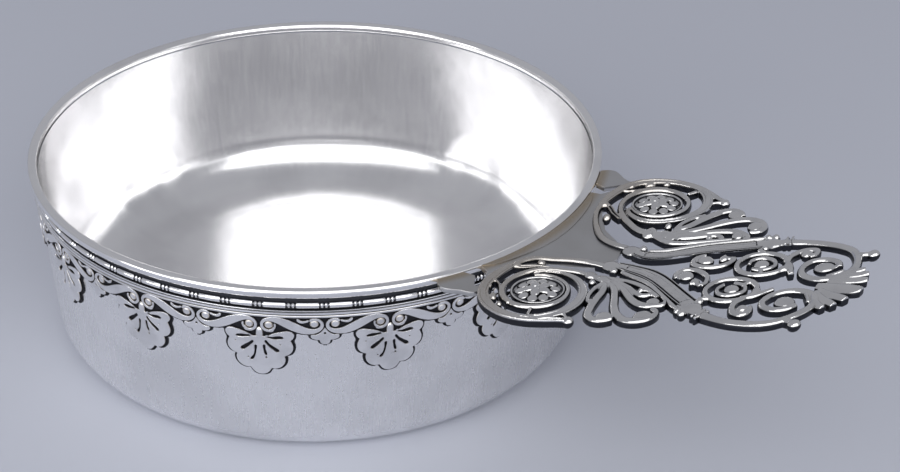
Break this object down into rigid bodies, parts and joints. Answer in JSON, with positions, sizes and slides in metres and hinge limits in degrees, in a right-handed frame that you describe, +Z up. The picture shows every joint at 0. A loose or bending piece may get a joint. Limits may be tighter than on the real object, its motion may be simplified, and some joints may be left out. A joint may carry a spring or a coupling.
{
  "type": "porringer",
  "caption": "Round straight-sided silver bowl with applied rim wires and a palmette frieze, and one flat openwork scroll handle that rises from the rim.",
  "frame": {"origin": "centre of the bowl's flat base, on the table", "axes": "+Z up through the bowl's mouth, +X from the bowl's middle along the handle, +Y to the handle's left"},
  "size_m": [0.1956, 0.127, 0.057],
  "materials": {
    "bowl_silver": "hand-polished silver with fine wiping scratches and a faint grey bloom",
    "wire_silver": "polished silver wire, rubbed bright on its crest",
    "gallery_silver": "stamped silver wire, bright on top and tarnished dark in its grooves",
    "frieze_silver": "die-struck silver relief, polished high points over dark tarnished recesses",
    "plate_silver": "plain satin silver sheet, slightly tarnished at its soldered edges",
    "cast_silver": "cast silver, polished crests and near-black recesses",
    "rosette_silver": "cast and chased silver petals with dark gaps between them"
  },
  "bodies": {
    "root": {"bowl": "bowl_silver", "fillet_wire": "gallery_silver", "frieze_band": "frieze_silver", "heel_plate": "plate_silver", "left_end_scroll": "cast_silver", "left_husk_fan": "cast_silver", "left_rail": "cast_silver", "left_ring_scroll": "cast_silver", "left_rosette": "rosette_silver", "left_small_scroll": "cast_silver", "left_volute": "cast_silver", "reel_wire": "gallery_silver", "right_end_scroll": "cast_silver", "right_husk_fan": "cast_silver", "right_rail": "cast_silver", "right_ring_scroll": "cast_silver", "right_rosette": "rosette_silver", "right_small_scroll": "cast_silver", "right_volute": "cast_silver", "rim_wire": "wire_silver", "tip_palmette": "cast_silver"}
  },
  "joints": []
}
